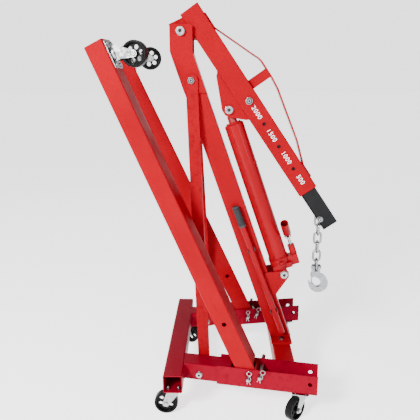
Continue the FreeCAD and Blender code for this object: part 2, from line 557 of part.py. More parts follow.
# ---------------------------------------------------------------- boom
def make_boom():
    half = BOOM / 2
    tube = rect_tube(0, BOOM_LEN, half, 0, BOOM, BOOM_WALL)
    for i in range(HOLE_COUNT):
        tube = tube.cut(along_y(BOOM_PIN_R + BOLT_PLAY, HOLE_S + i * HOLE_STEP, half, -60, 60))
    lug = prism_y([(12, 0), (16, -26), (PIVOT_S - 12, -PIVOT_D - 18), (PIVOT_S + 12, -PIVOT_D - 18),
                   (62, -36), (88, 0)], LUG_IN, LUG_IN + LUG_T)
    sleeve_tube = along_y(PIVOT_SLEEVE_R, PIVOT_S, -PIVOT_D, -EAR_IN + FIT, EAR_IN - FIT)
    bore = along_y(PIVOT_BOLT_R + RUN, PIVOT_S, -PIVOT_D, -90, 90)
    lugs = fuse(mirrored(lug), lug, sleeve_tube).cut(bore)
    gusset = prism_y([(213, 0), (222, -11), (326, -58), (347, -58), (360, -50), (400, -7), (402, 0)],
                     GUSSET_IN, GUSSET_IN + GUSSET_T)
    gusset = gusset.cut(along_y(BOLT_R + 0.05, RAM_EYE_S, -RAM_EYE_D, 0, 90))
    hollow_half = POST_HALF - POST_WALL
    post = box(POST_S0, POST_S1, -POST_HALF, POST_HALF, BOOM, TRUSS_H)
    post = post.cut(box(POST_S0 + POST_WALL, POST_S1 - POST_WALL, -hollow_half, hollow_half,
                        BOOM - 1, TRUSS_H + 1))
    lower = [(38, BOOM), (92, BOOM), (238, 127), (252, 133.5), (266, TRUSS_H), (330, TRUSS_H), (372, 133.5),
             (412, BOOM + 57), (554, BOOM + 27), (637, BOOM), (686, BOOM)]
    upper = [(s + 1.0, z + STRAP_T) for s, z in reversed(lower[1:-1])]
    strap = prism_y(lower + [(686, BOOM + STRAP_T)] + upper + [(38, BOOM + STRAP_T)], -STRAP_HALF, STRAP_HALF)
    bolts = bolt_y(BOOM_PIN_R, 21, HOLE_S, half, half, -half)
    inner, outer = GUSSET_IN - 1.0, GUSSET_IN + GUSSET_T
    for side in (-1, 1):
        head = hexagon_y(24, RAM_EYE_S, -RAM_EYE_D, side * outer, side * (outer + 10), 10.0)
        shank = along_y(BOLT_R, RAM_EYE_S, -RAM_EYE_D, *sorted((side * inner, side * outer)))
        bolts.append(fuse(head, shank))
    gussets = group(mirrored(gusset), gusset)
    for name, shape in (("boom_tube", tube), ("boom_lugs", lugs), ("boom_gussets", gussets),
                        ("boom_post", post), ("boom_strap", strap), ("boom_bolts", group(*bolts))):
        PARTS[name] = moved(shape, BOOM_FRAME)


def make_extension():
    """Inner boom: notched round the lock bolt at its inner end, without a floor at its outer end."""
    half, mid = EXT / 2, BOOM / 2
    start, end = HOLE_S - EXT_IN, BOOM_LEN + EXT_OUT
    tube = rect_tube(start, end, half, mid - half, mid + half, EXT_WALL)
    notch = BOOM_PIN_R + 0.8
    tube = tube.cut(box(start - 1, HOLE_S, -60, 60, mid - notch, mid + notch))
    tube = tube.cut(along_y(notch, HOLE_S, mid, -60, 60))
    clear = half - EXT_WALL
    tube = tube.cut(box(end - EXT_MOUTH, end + 1, -clear, clear, mid - half - 1, mid - clear + 1))
    tube = tube.cut(along_y(CHAIN_BOLT_R + 0.05, CHAIN_BOLT_S, CHAIN_BOLT_D, -60, 60))
    PARTS["boom_extension"] = moved(tube, BOOM_FRAME)
    bolt = bolt_y(CHAIN_BOLT_R, 18, CHAIN_BOLT_S, CHAIN_BOLT_D, half, -half)
    PARTS["chain_bolt"] = moved(group(*bolt), BOOM_FRAME)


# ---------------------------------------------------------------- hydraulic ram
def make_cylinder():
    """Outer tube with its filler plug, and the gland that guides the rod."""
    turn = FreeCAD.Placement(V(0, 0, 0), FreeCAD.Rotation(V(0, 0, 1), PLUG_TURN))
    body = Part.makeCylinder(CYL_R, CYL_TOP - CYL_FOOT, V(0, 0, CYL_FOOT))
    body = body.cut(Part.makeCylinder(CYL_BORE, CYL_TOP, V(0, 0, CYL_FOOT)))
    body = body.cut(Part.makeCylinder(5.5, 20, V(CYL_R - 2, 0, PLUG_Z), V(1, 0, 0)))
    plug = fuse(Part.makeCylinder(5.5, 7, V(CYL_R - 2, 0, PLUG_Z), V(1, 0, 0)),
                Part.makeCylinder(3, 10, V(CYL_R - 2, 0, PLUG_Z), V(1, 0, 0)))
    PARTS["ram_cylinder"] = moved(group(moved(body, turn), moved(plug, turn)), RAM_FRAME)
    shoulder = 4.0
    gland = fuse(Part.makeCone(CYL_R, CYL_R - 4, shoulder, V(0, 0, CYL_TOP)),
                 Part.makeCylinder(26, GLAND_T - shoulder, V(0, 0, CYL_TOP + shoulder)),
                 Part.makeCylinder(CYL_BORE, 24, V(0, 0, CYL_TOP - 24)))
    gland = gland.cut(Part.makeCylinder(ROD_R + RUN, 80, V(0, 0, CYL_TOP - 40)))
    PARTS["ram_gland"] = moved(gland, RAM_FRAME)


def make_rod():
    eye = along_y(EYE_R, 0, RAM_CLOSED, -EYE_HALF, EYE_HALF)
    neck = box(-NECK_HALF, NECK_HALF, -EYE_HALF, EYE_HALF, RAM_CLOSED - NECK_LEN, RAM_CLOSED)
    shaft = Part.makeCylinder(ROD_R, RAM_CLOSED - NECK_LEN + 4 - ROD_TAIL, V(0, 0, ROD_TAIL))
    PARTS["ram_rod"] = moved(fuse(shaft, neck, eye).cut(along_y(EYE_BORE, 0, RAM_CLOSED, -60, 60)), RAM_FRAME)


def make_ram_base():
    """Lower lug, valve block, collar, pump barrel with its fulcrum post, and the release valve."""
    fulcrum = V(PUMP_F, PUMP_FULCRUM_Y, PUMP_FULCRUM_A)
    lug = box(-16, 16, -33, 33, 0, 20).fuse(along_y(16, 0, 0, -33, 33))
    block = box(-31, 40, -33, 33, 16, 34)
    collar = Part.makeCylinder(37, 22, V(0, 0, 34)).fuse(Part.makeCylinder(34.5, 4, V(0, 0, 56)))
    pump = box(24, 68, -19, 19, 16, 52).fuse(Part.makeCylinder(PUMP_R, 38, V(PUMP_F, 0, 50)))
    post = box(PUMP_F - 5, PUMP_F + 5, fulcrum.y - 5, fulcrum.y + 5, 40, PUMP_FULCRUM_A).fuse(
        rod(6, fulcrum - V(5, 0, 0), fulcrum + V(5, 0, 0)))
    boss = along_y(11, VALVE_X, VALVE_Z, -44, -20)
    base = fuse(lug, block, collar, pump, post, boss)
    for bore in (along_y(BOLT_R + RUN, 0, 0, -60, 60),
                 Part.makeCylinder(PLUNGER_R + RUN, 90, V(PUMP_F, 0, 26)),
                 along_y(VALVE_R + RUN, VALVE_X, VALVE_Z, -60, -28),
                 rod(LINK_PIN_R + RUN, fulcrum - V(20, 0, 0), fulcrum + V(20, 0, 0))):
        base = base.cut(bore)
    PARTS["ram_base"] = moved(base, RAM_FRAME)
    valve = along_y(VALVE_R, VALVE_X, VALVE_Z, -46, -30)
    valve = valve.fuse(along_y(VALVE_HEAD_R, VALVE_X, VALVE_Z, -50, -44.5))
    valve = valve.cut(box(VALVE_X - 10, VALVE_X + 10, -51, -47.0, VALVE_Z - 2, VALVE_Z + 2))
    PARTS["release_valve"] = moved(valve, RAM_FRAME)


def make_pump():
    """Plunger, the two links that work it, and the socket for the handle."""
    plunger = Part.makeCylinder(PLUNGER_R, 72, V(PUMP_F, 0, 44))
    for flat in (box(PUMP_F - 7, PUMP_F - 4, -9, 9, 102, 118), box(PUMP_F + 4, PUMP_F + 7, -9, 9, 102, 118),
                 box(PUMP_F - 9, PUMP_F + 9, 5.2, 9, 96, 118)):
        plunger = plunger.cut(flat)
    PARTS["pump_plunger"] = moved(plunger, RAM_FRAME)
    fulcrum = V(PUMP_F, PUMP_FULCRUM_Y, PUMP_FULCRUM_A)
    aim = V(0, -math.sin(rad(SOCKET_TILT)), math.cos(rad(SOCKET_TILT)))
    foot = V(PUMP_F, -14.0, PUMP_FULCRUM_A + 22)
    outline = [(fulcrum.y + 8, fulcrum.z - 2), (fulcrum.y + 4, fulcrum.z + 9), (-4, 152), (-24, 158),
               (-30, 142), (-12, 118), (fulcrum.y - 4, fulcrum.z - 8), (fulcrum.y + 4, fulcrum.z - 8)]
    links = []
    for x in (-10.5, 7.5):
        corners = [V(PUMP_F + x, y, z) for y, z in outline]
        plate = Part.Face(Part.makePolygon(corners + corners[:1])).extrude(V(3, 0, 0))
        links.append(plate.cut(rod(SOCKET_R - 0.6, foot - aim * 2, foot + aim * 120)))
    pin = rod(LINK_PIN_R, fulcrum - V(13.5, 0, 0), fulcrum + V(13.5, 0, 0))
    socket = rod(SOCKET_R, foot, foot + aim * SOCKET_LEN)
    socket = socket.cut(rod(SOCKET_BORE, foot + aim * 4, foot + aim * (SOCKET_LEN + 1)))
    PARTS["pump_links"] = moved(fuse(links[0], pin, links[1]), RAM_FRAME)
    PARTS["pump_socket"] = moved(socket.cut(fuse(*links)), RAM_FRAME)


# ---------------------------------------------------------------- stored pump handle
def make_handle():
    """Pump handle, stored beside the mast in two clips."""
    start = HANDLE_TOP + HANDLE_DIR * GRIP_LEN * 0.4
    end = HANDLE_TOP + HANDLE_DIR * HANDLE_LEN
    tube = rod(HANDLE_R, start, end).cut(rod(HANDLE_R - 2, start + HANDLE_DIR * 60, end + HANDLE_DIR * 5))
    grip = rod(GRIP_R, HANDLE_TOP, HANDLE_TOP + HANDLE_DIR * GRIP_LEN)
    grip = grip.makeFillet(2.5, [e for e in grip.Edges if e.Length > 10 and len(e.Vertexes) == 1])
    PARTS["pump_handle"] = tube
    PARTS["pump_handle_grip"] = grip.cut(rod(HANDLE_R, start, end))
    clips = []
    for along in HANDLE_CLIPS:
        centre = HANDLE_TOP + HANDLE_DIR * along
        place = frame(centre, HANDLE_DIR, V(0, -1, 0))   # Z away from the mast
        outer, inner = HANDLE_R + 2.8, HANDLE_R + 0.5
        back = -(abs(HANDLE_Y) - MAST / 2)
        w = CLIP_HALF
        shape = fuse(Part.makeCylinder(outer, 2 * w, V(-w, 0, 0), V(1, 0, 0)),
                     box(-w, w, -outer, outer, 0, 9), box(-w, w, -6, 6, back, 0))
        for room in (Part.makeCylinder(inner, 2 * w + 2, V(-w - 1, 0, 0), V(1, 0, 0)),
                     box(-w - 1, w + 1, -inner, inner, 0, 30)):
            shape = shape.cut(room)
        clips.append(moved(shape, place))
    PARTS["handle_clips"] = group(*clips)


# ---------------------------------------------------------------- chain and hook
def chain_link(in_plane):
    """A link hanging along Z, centred at the origin; in_plane lies in XZ, otherwise in YZ."""
    r = LINK_IN_W / 2 + LINK_WIRE
    h = LINK_IN_L / 2 - LINK_IN_W / 2
    link = fuse(
        Part.makeTorus(r, LINK_WIRE, V(0, 0, h), V(0, 1, 0)).common(box(-30, 30, -9, 9, h, h + 30)),
        rod(LINK_WIRE, V(r, 0, -h), V(r, 0, h)), rod(LINK_WIRE, V(-r, 0, -h), V(-r, 0, h)),
        Part.makeTorus(r, LINK_WIRE, V(0, 0, -h), V(0, 1, 0)).common(box(-30, 30, -9, 9, -h - 30, -h)))
    if not in_plane:
        link.rotate(V(0, 0, 0), V(0, 0, 1), 90)
    return link


def make_chain():
    for i, z in enumerate(LINK_Z):
        link = chain_link(i % 2 == 0)
        link.translate(V(CHAIN_BOLT.x, 0, z))
        PARTS["chain_link_%d" % (i + 1)] = link


def make_hook():
    """Clevis hook in the XZ plane; its throat opens to the rear and is closed by a spring latch."""
    cx, cz = CHAIN_BOLT.x + HOOK_FORWARD, CLEVIS_Z - HOOK_DROP
    half = HOOK_HALF
    bowl = along_y(HOOK_R, cx, cz, -half, half)
    inside = [along_y(13.5, cx - 2, cz - 2, -20, 20),
              prism_y([(cx - 15.4, cz - 4), (cx + 9.5, cz + 5.5), (cx - 4, cz + 24), (cx - 13, cz + 28)],
                      -20, 20)]
    throat = prism_y([(cx - 13, cz + 28), (cx - 60, cz + 60), (cx - 60, cz + 9), (cx - 35, cz + 9),
                      (cx - 26, cz - 3), (cx - 15.4, cz - 6), (cx - 6, cz)], -20, 20)
    crown = prism_y([(cx - 25, cz + 40), (cx - 60, cz + 70), (cx - 60, cz + 8), (cx - 36, cz + 8),
                     (cx - 26, cz + 22)], -20, 20)
    bowl = bowl.cut(fuse(*inside)).cut(throat).cut(crown)
    x, z = CHAIN_BOLT.x, CLEVIS_Z
    neck = prism_y([(x - 14, z - 15), (x + 14, z - 15), (x + 26, z - 37), (x + 8, z - 40), (x - 8, z - 33),
                    (x - 15, z - 24)], -half, half)
    cheeks = []
    for side in (-1, 1):
        x0, x1 = sorted((x + side * 6.0, x + side * 15.0))
        cheek = Part.makeCylinder(11, 9, V(x0, 0, z), V(1, 0, 0))
        cheeks.append(cheek.fuse(box(x0, x1, -half, half, z - 20, z)))
    yoke = box(x - 15, x + 15, -half, half, z - 21, z - 14.5)
    hook = fuse(bowl, neck, yoke, *cheeks).cut(rod(CLEVIS_R, V(x - 30, 0, z), V(x + 30, 0, z)))
    hook = hook.cut(along_y(LATCH_R + RUN, *LATCH_PIVOT, -20, 20))
    pin = fuse(rod(CLEVIS_R, V(x - 17, 0, z), V(x + 17, 0, z)), rod(7, V(x + 15, 0, z), V(x + 18.5, 0, z)))
    PARTS["hook"] = group(hook, pin)
    lx, lz = LATCH_PIVOT
    tip_x, tip_z = cx - 24.5, cz + 1
    ears = []
    for side in (-1, 1):
        y0, y1 = sorted((side * (half + FIT), side * (half + 2.0)))
        ears.append(along_y(6, lx, lz, y0, y1).fuse(
            prism_y([(lx - 6, lz), (lx + 4, lz - 4), (lx + 1, lz - 14), (lx - 7, lz - 12)], y0, y1)))
    tongue = prism_y([(lx - 7, lz - 9), (lx - 4.4, lz - 9), (tip_x + 2.6, tip_z), (tip_x, tip_z)],
                     -half - 2, half + 2)
    pivot = along_y(LATCH_R, lx, lz, -half - 3, half + 3)
    PARTS["hook_latch"] = fuse(pivot, tongue, *ears)


# ---------------------------------------------------------------- build, centre and write
def build():
    bolts = make_casters()
    make_base()
    make_legs()
    make_leg_pins()
    make_mast()
    make_support_bars()
    make_frame_bolts(bolts)
    make_boom()
    make_extension()
    make_cylinder()
    make_rod()
    make_ram_base()
    make_pump()
    make_handle()
    make_chain()
    make_hook()
    whole = Part.makeCompound(list(PARTS.values())).optimalBoundingBox(False)
    centre = V((whole.XMin + whole.XMax) / 2, (whole.YMin + whole.YMax) / 2, whole.ZMin)
    for shape in PARTS.values():
        shape.translate(-centre)
    return centre


CENTRE = build()


def main():
    os.makedirs("parts", exist_ok=True)
    for name, shape in PARTS.items():
        shape.exportStep("parts/%s.step" % name)
    print("origin moved by", [round(c, 3) for c in CENTRE], "nodes", len(PARTS))


main()
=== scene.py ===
import json
import math

import bmesh
import bpy
from mathutils import Matrix, Vector, noise
from mathutils.bvhtree import BVHTree


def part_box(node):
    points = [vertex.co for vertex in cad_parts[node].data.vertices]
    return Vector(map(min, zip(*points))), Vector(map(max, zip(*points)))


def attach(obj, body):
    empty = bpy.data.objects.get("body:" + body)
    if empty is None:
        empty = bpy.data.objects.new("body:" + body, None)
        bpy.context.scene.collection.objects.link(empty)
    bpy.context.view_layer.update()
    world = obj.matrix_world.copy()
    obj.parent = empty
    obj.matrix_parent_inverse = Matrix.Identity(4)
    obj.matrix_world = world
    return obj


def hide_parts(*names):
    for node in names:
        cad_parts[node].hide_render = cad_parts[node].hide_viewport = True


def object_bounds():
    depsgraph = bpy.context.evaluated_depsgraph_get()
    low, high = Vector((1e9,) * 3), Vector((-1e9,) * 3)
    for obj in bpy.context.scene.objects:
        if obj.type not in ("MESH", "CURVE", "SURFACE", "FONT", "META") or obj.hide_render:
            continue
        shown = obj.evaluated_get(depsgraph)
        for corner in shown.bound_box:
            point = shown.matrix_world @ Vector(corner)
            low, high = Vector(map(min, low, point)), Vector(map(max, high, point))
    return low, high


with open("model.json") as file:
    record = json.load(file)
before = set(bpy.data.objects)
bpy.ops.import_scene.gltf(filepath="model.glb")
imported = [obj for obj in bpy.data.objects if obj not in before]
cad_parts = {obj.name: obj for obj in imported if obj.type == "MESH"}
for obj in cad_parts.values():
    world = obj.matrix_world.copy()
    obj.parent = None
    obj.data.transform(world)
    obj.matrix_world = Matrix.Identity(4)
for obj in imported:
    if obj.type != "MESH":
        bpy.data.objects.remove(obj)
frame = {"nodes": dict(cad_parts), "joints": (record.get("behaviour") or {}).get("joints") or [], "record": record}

CAD_BOX = [list(corner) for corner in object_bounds()]

MM = 0.001
JOINTS = {joint["name"]: joint for joint in frame["joints"]}
SLOT_OF = {part["node"]: part["material_slot"] for part in frame["record"]["subparts"]}
BODY_OF = {node: body for body, nodes in frame["record"]["behaviour"]["bodies"].items() for node in nodes}


def joint_axis(name):
    return Vector(JOINTS[name]["axis"]).normalized()


def joint_point(name):
    return Vector(JOINTS[name]["pos_m"])


# ------------------------------------------------------------------------------------------ materials
class Graph:
    """One procedural material: the shader and short calls for the nodes that feed it."""

    def __init__(self, name, colour, metallic=0.0, roughness=0.4):
        self.material = bpy.data.materials.new(name)
        self.material.use_nodes = True
        self.tree = self.material.node_tree
        self.shader = self.tree.nodes["Principled BSDF"]
        self.place = self.tree.nodes.new("ShaderNodeTexCoord").outputs["Object"]
        self.set("Base Color", (*colour, 1.0))
        self.set("Metallic", metallic)
        self.set("Roughness", roughness)

    def set(self, socket, value):
        self.shader.inputs[socket].default_value = value

    def link(self, output, socket):
        self.tree.links.new(output, self.shader.inputs[socket])

    def stretched(self, scale):
        """The object's own coordinates, scaled by one factor per axis."""
        node = self.tree.nodes.new("ShaderNodeMapping")
        node.inputs["Scale"].default_value = scale
        self.tree.links.new(self.place, node.inputs["Vector"])
        return node.outputs["Vector"]

    def noise(self, scale, detail=3.0, rough=0.55, vector=None):
        node = self.tree.nodes.new("ShaderNodeTexNoise")
        node.inputs["Scale"].default_value = scale
        node.inputs["Detail"].default_value = detail
        node.inputs["Roughness"].default_value = rough
        self.tree.links.new(vector or self.place, node.inputs["Vector"])
        return node.outputs["Fac"]

    def cells(self, scale, vector=None):
        node = self.tree.nodes.new("ShaderNodeTexVoronoi")
        node.inputs["Scale"].default_value = scale
        self.tree.links.new(vector or self.place, node.inputs["Vector"])
        return node.outputs["Distance"]

    def span(self, value, low, high, start=0.35, end=0.65):
        """Value between start and end becomes low to high."""
        node = self.tree.nodes.new("ShaderNodeMapRange")
        for socket, number in (("From Min", start), ("From Max", end), ("To Min", low), ("To Max", high)):
            node.inputs[socket].default_value = number
        self.tree.links.new(value, node.inputs["Value"])
        return node.outputs["Result"]

    def times(self, one, other):
        node = self.tree.nodes.new("ShaderNodeMath")
        node.operation = "MULTIPLY"
        self.tree.links.new(one, node.inputs[0])
        self.tree.links.new(other, node.inputs[1])
        return node.outputs[0]

    def blend(self, amount, first, second):
        """Colour first where amount is 0, second where it is 1; each is a colour or another blend."""
        node = self.tree.nodes.new("ShaderNodeMix")
        node.data_type = "RGBA"
        self.tree.links.new(amount, node.inputs["Factor"])
        for socket, colour in ((node.inputs[6], first), (node.inputs[7], second)):
            if isinstance(colour, tuple):
                socket.default_value = (*colour, 1.0)
            else:
                self.tree.links.new(colour, socket)
        return node.outputs[2]

    def edges(self, low, high):
        """1 on worn outer edges, 0 on flat faces."""
        node = self.tree.nodes.new("ShaderNodeNewGeometry")
        return self.span(node.outputs["Pointiness"], 0.0, 1.0, low, high)

    def bump(self, layers):
        """Layers of (height, strength, distance), laid over each other."""
        normal = None
        for height, strength, distance in layers:
            node = self.tree.nodes.new("ShaderNodeBump")
            node.inputs["Strength"].default_value = strength
            node.inputs["Distance"].default_value = distance
            self.tree.links.new(height, node.inputs["Height"])
            if normal is not None:
                self.tree.links.new(normal, node.inputs["Normal"])
            normal = node.outputs["Normal"]
        self.link(normal, "Normal")


def tint(colour, factor):
    return tuple(min(1.0, channel * factor) for channel in colour)


def enamel(name, colour, roughness=0.3, coat=0.2):
    """Sprayed gloss enamel: orange peel, slow tone changes, light scuffs and thin paint on the outer edges."""
    graph = Graph(name, colour, roughness=roughness)
    tone = graph.blend(graph.span(graph.noise(5.0, 3.0), 0.0, 1.0), tint(colour, 0.90), tint(colour, 1.05))
    scuffs = graph.noise(1.0, 6.0, 0.75, graph.stretched((70.0, 70.0, 12.0)))
    scuffed = graph.blend(graph.span(scuffs, 0.0, 0.40, 0.70, 0.80), tone, tint(colour, 0.55))
    thin = graph.times(graph.edges(0.54, 0.62), graph.span(graph.noise(60.0, 4.0), 0.0, 0.8, 0.50, 0.80))
    graph.link(graph.blend(thin, scuffed, tint(colour, 0.45)), "Base Color")
    graph.link(graph.span(graph.noise(16.0, 5.0, 0.65), roughness - 0.05, roughness + 0.10), "Roughness")
    graph.set("Specular IOR Level", 0.05)
    graph.set("Specular Tint", (1.0, 0.18, 0.20, 1.0))
    graph.set("Coat Weight", coat)
    graph.set("Coat Roughness", 0.05)
    graph.bump([(graph.noise(420.0, 2.0), 0.06, 0.0004), (graph.noise(28.0, 2.0), 0.08, 0.0016)])
    return graph.material


def zinc(name, colour, roughness=0.3):
    """Bright zinc plate: faint blue and straw clouds, fine brushing and dull spots."""
    graph = Graph(name, colour, metallic=1.0, roughness=roughness)
    clouds = graph.blend(graph.span(graph.noise(38.0, 4.0), 0.0, 1.0), tint(colour, 0.86), tint(colour, 1.1))
    warm = graph.span(graph.noise(70.0, 3.0), 0.0, 0.35, 0.5, 0.7)
    spots = graph.span(graph.noise(240.0, 4.0), 0.0, 0.5, 0.60, 0.72)
    graph.link(graph.blend(spots, graph.blend(warm, clouds, (0.74, 0.66, 0.46)), tint(colour, 0.5)), "Base Color")
    graph.link(graph.span(graph.noise(90.0, 5.0), roughness - 0.10, roughness + 0.18), "Roughness")
    graph.bump([(graph.noise(900.0, 2.0), 0.12, 0.0002), (graph.noise(120.0, 3.0), 0.16, 0.0006)])
    return graph.material


def forged(name, colour, roughness=0.42):
    """Galvanised forging: spangled tone, hammered waviness and pits."""
    graph = Graph(name, colour, metallic=1.0, roughness=roughness)
    spangle = graph.span(graph.cells(150.0), 0.0, 1.0, 0.1, 0.8)
    tone = graph.blend(spangle, tint(colour, 0.80), tint(colour, 1.15))
    grime = graph.span(graph.noise(55.0, 5.0), 0.0, 0.8, 0.55, 0.72)
    graph.link(graph.blend(grime, tone, tint(colour, 0.42)), "Base Color")
    graph.link(graph.span(graph.noise(110.0, 5.0), roughness - 0.14, roughness + 0.16), "Roughness")
    graph.bump([(graph.noise(340.0, 4.0), 0.30, 0.0005), (graph.noise(70.0, 3.0), 0.30, 0.0014)])
    return graph.material


def moulded(name, colour, roughness, grain=600.0, dust=0.12, specular=0.3):
    """Moulded plastic or rubber: fine grain, a little dust and rubbed edges."""
    graph = Graph(name, colour, roughness=roughness)
    cloud = graph.span(graph.noise(22.0, 5.0), 0.0, dust, 0.4, 0.75)
    dusty = graph.blend(cloud, colour, (0.32, 0.30, 0.28))
    graph.link(graph.blend(graph.edges(0.53, 0.62), dusty, tint(tuple(c + 0.02 for c in colour), 2.2)), "Base Color")
    graph.link(graph.span(graph.noise(34.0, 4.0), roughness - 0.07, roughness + 0.16), "Roughness")
    graph.set("Specular IOR Level", specular)
    graph.bump([(graph.noise(grain, 3.0), 0.18, 0.0003), (graph.noise(45.0, 2.0), 0.08, 0.0010)])
    return graph.material


def hard_chrome(name, paint):
    """Ground and chromed rod; its eye end, beyond the gland, is painted."""
    graph = Graph(name, (0.74, 0.75, 0.77), metallic=1.0, roughness=0.12)
    along = joint_axis("ram_stroke")
    dot = graph.tree.nodes.new("ShaderNodeVectorMath")
    dot.operation = "DOT_PRODUCT"
    dot.inputs[1].default_value = along
    graph.tree.links.new(graph.place, dot.inputs[0])
    edge = (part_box("ram_gland")[1]).dot(along) - 6 * MM
    painted = graph.span(dot.outputs["Value"], 0.0, 1.0, edge, edge + 0.5 * MM)
    rings = graph.noise(900.0, 2.0)
    graph.link(graph.blend(painted, (0.74, 0.75, 0.77), paint), "Base Color")
    graph.link(graph.span(painted, 1.0, 0.0, 0.0, 1.0), "Metallic")
    graph.link(graph.span(painted, 0.14, 0.32, 0.0, 1.0), "Roughness")
    graph.bump([(rings, 0.06, 0.0001)])
    return graph.material


RED = (0.215, 0.0, 0.0046)
# Darker red for the base parts: painted shade standing for the weaker light on the lower frame.
SHADED_BASE_RED = (0.170, 0.0, 0.0090)
MATERIALS = {
    "red_paint": enamel("red_enamel", RED, 0.34, 0.03),
    # The base slot gets the darker red: painted shade for the lower frame.
    "red_paint_base": enamel("red_enamel_base_painted_shade", SHADED_BASE_RED, 0.36, 0.03),
    "red_paint_ram": enamel("red_enamel_ram", RED, 0.26, 0.14),
    "black_paint": moulded("black_enamel", (0.0030, 0.0032, 0.0036), 0.42, 500.0, 0.012, 0.04),
    "zinc": zinc("bright_zinc", (0.34, 0.35, 0.365), 0.22),
    "chrome": hard_chrome("hard_chrome", RED),
    "galvanised": forged("galvanised_forging", (0.27, 0.28, 0.295), 0.30),
    "black_clip": moulded("black_clip", (0.010, 0.010, 0.011), 0.45, 600.0, 0.04, 0.1),
    "grip": moulded("grey_grip", (0.014, 0.0145, 0.016), 0.5, 900.0, 0.04, 0.1),
    "wheel": moulded("black_wheel", (0.0022, 0.0023, 0.0026), 0.22, 700.0, 0.010, 0.05),
}
PRINT = moulded("white_print", (0.86, 0.85, 0.83), 0.5, 400.0, 0.05)


# ------------------------------------------------------------------------------------------ finishing CAD nodes
EDGE_BREAK = {"hook": 4.2 * MM, "hook_latch": 0.5 * MM, "release_valve": 0.7 * MM, "ram_base": 1.6 * MM,
              "leg_pins": 0.9 * MM, "frame_bolts": 0.35 * MM, "pump_socket": 0.3 * MM, "leg_pin_clips": 0.0,
              "chain_bolt": 0.4 * MM}
WIDE_EDGES = {"base_caster_plates": 0.5, "mast_ears": 1.4, "ram_bracket": 1.0, "boom_gussets": 0.9, "boom_lugs": 1.1,
              "boom_strap": 0.7, "boom_post": 0.9, "mast_foot_plate": 1.4, "support_bar_left": 1.1,
              "support_bar_right": 1.1}
PLAIN_EDGE = 0.6 * MM


def finish_cad_nodes():
    """Give each node its material and break its sharp edges."""
    for node, piece in frame["nodes"].items():
        for slot in piece.material_slots:
            slot.material = MATERIALS[SLOT_OF[node]]
        for face in piece.data.polygons:
            face.use_smooth = True
        width = EDGE_BREAK.get(node, WIDE_EDGES.get(node, PLAIN_EDGE / MM) * MM)
        weld = piece.modifiers.new("weld", "WELD")
        weld.merge_threshold = 0.01 * MM
        if width > 0 and not node.startswith("chain_link"):
            flat = piece.modifiers.new("flat", "DECIMATE")
            flat.decimate_type = "DISSOLVE"
            flat.angle_limit = math.radians(0.6)
            bevel = piece.modifiers.new("edge", "BEVEL")
            bevel.width = width
            bevel.segments = 4 if node == "hook" else 2
            bevel.limit_method = "ANGLE"
            bevel.angle_limit = math.radians(32)
        normals = piece.modifiers.new("normals", "WEIGHTED_NORMAL")
        normals.keep_sharp = False


# ------------------------------------------------------------------------------------------ building pieces
def new_piece(name, body, material, vertices, faces, smooth=True):
    mesh = bpy.data.meshes.new(name)
    mesh.from_pydata(vertices, [], faces)
    mesh.validate()
    piece = bpy.data.objects.new(name, mesh)
    bpy.context.scene.collection.objects.link(piece)
    mesh.materials.append(material)
    for face in mesh.polygons:
        face.use_smooth = smooth
    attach(piece, body)
    return piece


def tube_along(points, closed, radius_at, sides=8):
    """Vertices and faces of a closed tube that follows points."""
    count = len(points)
    vertices, faces = [], []
    normal = None
    for i, point in enumerate(points):
        ahead = points[(i + 1) % count] if closed or i < count - 1 else point
        behind = points[i - 1] if closed or i > 0 else point
        along = (ahead - behind).normalized()
        if normal is None:
            normal = along.orthogonal().normalized()
        normal = (normal - along * normal.dot(along)).normalized()
        side = along.cross(normal)
        radius = radius_at(i)
        for k in range(sides):
            turn = 2 * math.pi * k / sides
            vertices.append(point + (normal * math.cos(turn) + side * math.sin(turn)) * radius)
    for i in range(count if closed else count - 1):
        a, b = i * sides, ((i + 1) % count) * sides
        for k in range(sides):
            n = (k + 1) % sides
            faces.append((a + k, a + n, b + n, b + k))
    if not closed:
        faces.append(tuple(reversed(range(sides))))
        faces.append(tuple(range((count - 1) * sides, count * sides)))
    return vertices, faces


def lathe(profile, centre, axis, steps=40, start=None):
    """A closed turned shape: profile holds (distance along the axis, radius), from one end to the other."""
    axis = Vector(axis).normalized()
    across = (start - axis * start.dot(axis)).normalized() if start else axis.orthogonal().normalized()
    side = axis.cross(across)
    vertices, faces = [], []
    for along, radius in profile:
        for k in range(steps):
            turn = 2 * math.pi * k / steps
            vertices.append(centre + axis * along + (across * math.cos(turn) + side * math.sin(turn)) * radius)
    for i in range(len(profile) - 1):
        for k in range(steps):
            n = (k + 1) % steps
            faces.append((i * steps + k, i * steps + n, (i + 1) * steps + n, (i + 1) * steps + k))
    return vertices, faces, steps


def turned(name, body, material, profile, centre, axis, steps=40, ring=False):
    """Lathe as a piece; a ring joins its last profile point to its first, otherwise both ends are capped."""
    vertices, faces, steps = lathe(profile, centre, axis, steps)
    last = (len(profile) - 1) * steps
    if ring:
        for k in range(steps):
            n = (k + 1) % steps
            faces.append((last + k, last + n, n, k))
    else:
        faces.append(tuple(reversed(range(steps))))
        faces.append(tuple(range(last, last + steps)))
    return new_piece(name, body, material, vertices, faces)


# ------------------------------------------------------------------------------------------ weld beads
def surface(node):
    """Welded copy of a node's mesh as bmesh, with near-flat edges dissolved."""
    work = bmesh.new()
    work.from_mesh(frame["nodes"][node].data)
    bmesh.ops.remove_doubles(work, verts=work.verts, dist=0.02 * MM)
    bmesh.ops.dissolve_limit(work, angle_limit=math.radians(1), verts=work.verts, edges=work.edges)
    return work


